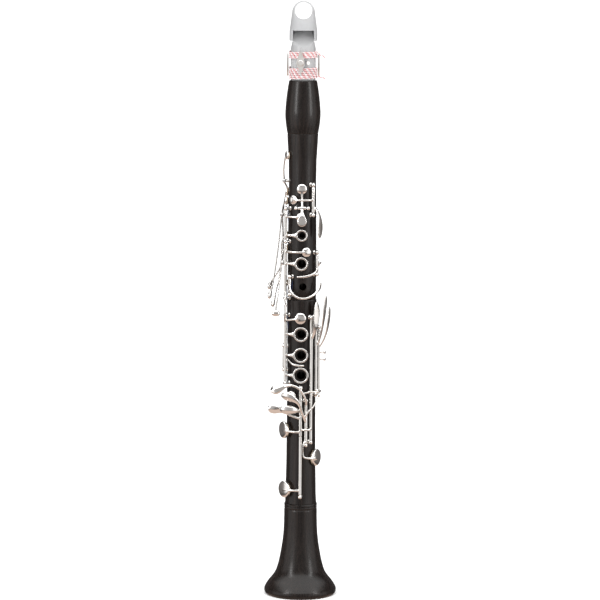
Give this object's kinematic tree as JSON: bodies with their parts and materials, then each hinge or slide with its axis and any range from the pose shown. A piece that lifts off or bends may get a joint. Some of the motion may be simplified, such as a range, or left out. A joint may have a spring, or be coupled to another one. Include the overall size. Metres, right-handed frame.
{
  "type": "clarinet",
  "caption": "Boehm-system clarinet with black wooden bell, joints and barrel, silver keywork, mouthpiece with string ligature and ring-topped cap.",
  "frame": {"origin": "centre of the bell's rim face, on the bore axis", "axes": "+Z along the bore from bell to mouthpiece, -Y the side of the finger holes, +X to the right of someone who faces them"},
  "size_m": [0.073, 0.0728, 0.5992],
  "materials": {
    "black_wood": "oiled, satin, fine straight grain",
    "silver_plate": "polished silver plate",
    "steel": "drawn steel",
    "cork": "natural cork sheet",
    "frosted_plastic": "pale, translucent, satin",
    "pad_leather": "matt thin leather",
    "cane": "dry cane, lengthwise fibre",
    "ligature_cord": "braided, pale pink and white"
  },
  "bodies": {
    "bell": {"bell": "black_wood"},
    "lower_joint": {"lower_joint": "black_wood", "lower_joint_cork": "cork", "lower_posts": "silver_plate", "lower_rods": "steel", "thumb_rest": "silver_plate"},
    "upper_joint": {"upper_joint": "black_wood", "upper_joint_corks": "cork", "upper_posts": "silver_plate", "upper_rods": "steel", "register_vent": "silver_plate", "thumb_bush": "silver_plate"},
    "barrel": {"barrel": "black_wood"},
    "mouthpiece": {"mouthpiece": "frosted_plastic", "mouthpiece_cork": "cork", "reed": "cane", "ligature_frame": "silver_plate", "ligature_cord": "ligature_cord"},
    "ligature_screw": {"ligature_screw": "silver_plate"},
    "mouthpiece_cap": {"mouthpiece_cap": "frosted_plastic"},
    "register_key": {"register_key": "silver_plate", "register_pad": "pad_leather"},
    "a_key": {"a_key": "silver_plate", "a_pad": "pad_leather"},
    "gsharp_key": {"gsharp_key": "silver_plate", "gsharp_pad": "pad_leather"},
    "side_key_1": {"side_key_1": "silver_plate", "side_pad_1": "pad_leather"},
    "side_key_2": {"side_key_2": "silver_plate", "side_pad_2": "pad_leather"},
    "side_key_3": {"side_key_3": "silver_plate", "side_pad_3": "pad_leather"},
    "side_key_4": {"side_key_4": "silver_plate", "side_pad_4": "pad_leather"},
    "index_ring_key": {"index_ring_key": "silver_plate", "index_pad": "pad_leather"},
    "middle_ring_key": {"middle_ring_key": "silver_plate", "middle_pad": "pad_leather"},
    "thumb_ring_key": {"thumb_ring_key": "silver_plate", "thumb_pad": "pad_leather"},
    "sliver_eb_key": {"sliver_eb_key": "silver_plate", "sliver_eb_pad": "pad_leather"},
    "csharp_gsharp_key": {"csharp_gsharp_key": "silver_plate", "csharp_gsharp_pad": "pad_leather"},
    "lower_ring_key": {"lower_ring_key": "silver_plate", "lower_ring_pad": "pad_leather"},
    "sliver_b_fsharp_key": {"sliver_b_fsharp_key": "silver_plate", "sliver_b_fsharp_pad": "pad_leather"},
    "e_b_key": {"e_b_key": "silver_plate", "e_b_pad": "pad_leather"},
    "f_c_key": {"f_c_key": "silver_plate", "f_c_pad": "pad_leather"},
    "fsharp_csharp_key": {"fsharp_csharp_key": "silver_plate", "fsharp_csharp_pad": "pad_leather"},
    "ab_eb_key": {"ab_eb_key": "silver_plate", "ab_eb_pad": "pad_leather"},
    "lh_f_c_lever": {"lh_f_c_lever": "silver_plate"},
    "lh_fsharp_csharp_lever": {"lh_fsharp_csharp_lever": "silver_plate"},
    "lh_e_b_lever": {"lh_e_b_lever": "silver_plate"}
  },
  "joints": [
    {"name": "lower_joint_tenon", "type": "slide", "parent": "bell", "child": "lower_joint", "axis": [0, 0, 1], "range_m": [0, 0.018]},
    {"name": "upper_joint_tenon", "type": "slide", "parent": "lower_joint", "child": "upper_joint", "axis": [0, 0, 1], "range_m": [0, 0.014]},
    {"name": "barrel_tuning_slide", "type": "slide", "parent": "upper_joint", "child": "barrel", "axis": [0, 0, 1], "range_m": [0, 0.012]},
    {"name": "mouthpiece_tenon", "type": "slide", "parent": "barrel", "child": "mouthpiece", "axis": [0, 0, 1], "range_m": [0, 0.014]},
    {"name": "cap_lift", "type": "slide", "parent": "mouthpiece", "child": "mouthpiece_cap", "axis": [0, 0, 1], "range_m": [0, 0.03]},
    {"name": "ligature_screw_turn", "type": "hinge", "parent": "mouthpiece", "child": "ligature_screw", "pos_m": [-0.00235, -0.01482, 0.538], "axis": [-0.1564, -0.9877, 0], "range_deg": [-180, 180]},
    {"name": "register_key_press", "type": "hinge", "parent": "upper_joint", "child": "register_key", "pos_m": [-0.017, 0.00456, 0.42], "axis": [-0.2588, -0.9659, 0], "range_deg": [0, 4], "stiffness_Nm_per_rad": 0.04, "springref_deg": -8.59},
    {"name": "a_key_press", "type": "hinge", "parent": "upper_joint", "child": "a_key", "pos_m": [-0.0003, -0.0169, 0.394], "axis": [0.9998, -0.0175, 0], "range_deg": [0, 4], "stiffness_Nm_per_rad": 0.04, "springref_deg": -8.59},
    {"name": "gsharp_key_press", "type": "hinge", "parent": "upper_joint", "child": "gsharp_key", "pos_m": [0.01077, -0.01379, 0.402], "axis": [0, 0, 1], "range_deg": [0, 5], "stiffness_Nm_per_rad": 0.04, "springref_deg": -8.59},
    {"name": "side_key_1_press", "type": "hinge", "parent": "upper_joint", "child": "side_key_1", "pos_m": [-0.01902, 0.0043, 0.386], "axis": [-0.2207, -0.9753, 0], "range_deg": [0, 4], "stiffness_Nm_per_rad": 0.04, "springref_deg": -8.59},
    {"name": "side_key_2_press", "type": "hinge", "parent": "upper_joint", "child": "side_key_2", "pos_m": [-0.01902, 0.0043, 0.386], "axis": [-0.2207, -0.9753, 0], "range_deg": [0, 4], "stiffness_Nm_per_rad": 0.04, "springref_deg": -8.59},
    {"name": "side_key_3_press", "type": "hinge", "parent": "upper_joint", "child": "side_key_3", "pos_m": [-0.01947, -0.00102, 0.338], "axis": [0.0523, -0.9986, 0], "range_deg": [0, 4], "stiffness_Nm_per_rad": 0.04, "springref_deg": -8.59},
    {"name": "side_key_4_press", "type": "hinge", "parent": "upper_joint", "child": "side_key_4", "pos_m": [-0.01947, -0.00102, 0.338], "axis": [0.0523, -0.9986, 0], "range_deg": [0, 4], "stiffness_Nm_per_rad": 0.04, "springref_deg": -8.59},
    {"name": "index_ring_key_press", "type": "hinge", "parent": "upper_joint", "child": "index_ring_key", "pos_m": [-0.01663, -0.0096, 0.376], "axis": [0, 0, 1], "range_deg": [0, 4], "stiffness_Nm_per_rad": 0.04, "springref_deg": -8.59},
    {"name": "middle_ring_key_press", "type": "hinge", "parent": "upper_joint", "child": "middle_ring_key", "pos_m": [-0.01663, -0.0096, 0.33], "axis": [0, 0, 1], "range_deg": [0, 4], "stiffness_Nm_per_rad": 0.04, "springref_deg": -8.59},
    {"name": "thumb_ring_key_press", "type": "hinge", "parent": "upper_joint", "child": "thumb_ring_key", "pos_m": [-0.01196, 0.01425, 0.366], "axis": [0, 0, 1], "range_deg": [-5, 0], "stiffness_Nm_per_rad": 0.04, "springref_deg": 8.59},
    {"name": "sliver_eb_key_press", "type": "hinge", "parent": "upper_joint", "child": "sliver_eb_key", "pos_m": [0.01493, -0.00933, 0.338], "axis": [0, 0, 1], "range_deg": [-5, 0], "stiffness_Nm_per_rad": 0.04, "springref_deg": 8.59},
    {"name": "csharp_gsharp_key_press", "type": "hinge", "parent": "upper_joint", "child": "csharp_gsharp_key", "pos_m": [-0.01228, -0.01316, 0.316], "axis": [0, 0, 1], "range_deg": [0, 5], "stiffness_Nm_per_rad": 0.04, "springref_deg": -8.59},
    {"name": "lower_ring_key_press", "type": "hinge", "parent": "lower_joint", "child": "lower_ring_key", "pos_m": [-0.01629, -0.00998, 0.25], "axis": [0, 0, 1], "range_deg": [0, 4], "stiffness_Nm_per_rad": 0.04, "springref_deg": -8.59},
    {"name": "sliver_b_fsharp_key_press", "type": "hinge", "parent": "lower_joint", "child": "sliver_b_fsharp_key", "pos_m": [-0.01761, -0.00374, 0.242], "axis": [0, 0, 1], "range_deg": [0, 5], "stiffness_Nm_per_rad": 0.04, "springref_deg": -8.59},
    {"name": "e_b_key_press", "type": "hinge", "parent": "lower_joint", "child": "e_b_key", "pos_m": [-0.00065, -0.01849, 0.15], "axis": [0, 0, 1], "range_deg": [-7, 0], "stiffness_Nm_per_rad": 0.04, "springref_deg": 8.59},
    {"name": "f_c_key_press", "type": "hinge", "parent": "lower_joint", "child": "f_c_key", "pos_m": [-0.00065, -0.01849, 0.175], "axis": [0, 0, 1], "range_deg": [-7, 0], "stiffness_Nm_per_rad": 0.04, "springref_deg": 8.59},
    {"name": "fsharp_csharp_key_press", "type": "hinge", "parent": "lower_joint", "child": "fsharp_csharp_key", "pos_m": [0.00479, -0.01787, 0.18], "axis": [0, 0, 1], "range_deg": [-6, 0], "stiffness_Nm_per_rad": 0.04, "springref_deg": 8.59},
    {"name": "ab_eb_key_press", "type": "hinge", "parent": "lower_joint", "child": "ab_eb_key", "pos_m": [0.00479, -0.01787, 0.178], "axis": [0, 0, 1], "range_deg": [-6, 0], "stiffness_Nm_per_rad": 0.04, "springref_deg": 8.59},
    {"name": "lh_f_c_lever_press", "type": "hinge", "parent": "lower_joint", "child": "lh_f_c_lever", "pos_m": [0.00975, -0.01501, 0.22], "axis": [0, 0, 1], "range_deg": [0, 10.5], "stiffness_Nm_per_rad": 0.02, "springref_deg": -8.59},
    {"name": "lh_fsharp_csharp_lever_press", "type": "hinge", "parent": "lower_joint", "child": "lh_fsharp_csharp_lever", "pos_m": [0.01448, -0.01052, 0.245], "axis": [0, 0, 1], "range_deg": [0, 6], "stiffness_Nm_per_rad": 0.02, "springref_deg": -8.59},
    {"name": "lh_e_b_lever_press", "type": "hinge", "parent": "lower_joint", "child": "lh_e_b_lever", "pos_m": [0.01721, -0.00493, 0.24], "axis": [0, 0, 1], "range_deg": [0, 5.25], "stiffness_Nm_per_rad": 0.02, "springref_deg": -8.59}
  ],
  "couplings": [
    {"joint": "lh_f_c_lever_press", "follows": "f_c_key_press", "ratio": -1.5},
    {"joint": "lh_fsharp_csharp_lever_press", "follows": "fsharp_csharp_key_press", "ratio": -1},
    {"joint": "lh_e_b_lever_press", "follows": "e_b_key_press", "ratio": -0.75}
  ]
}
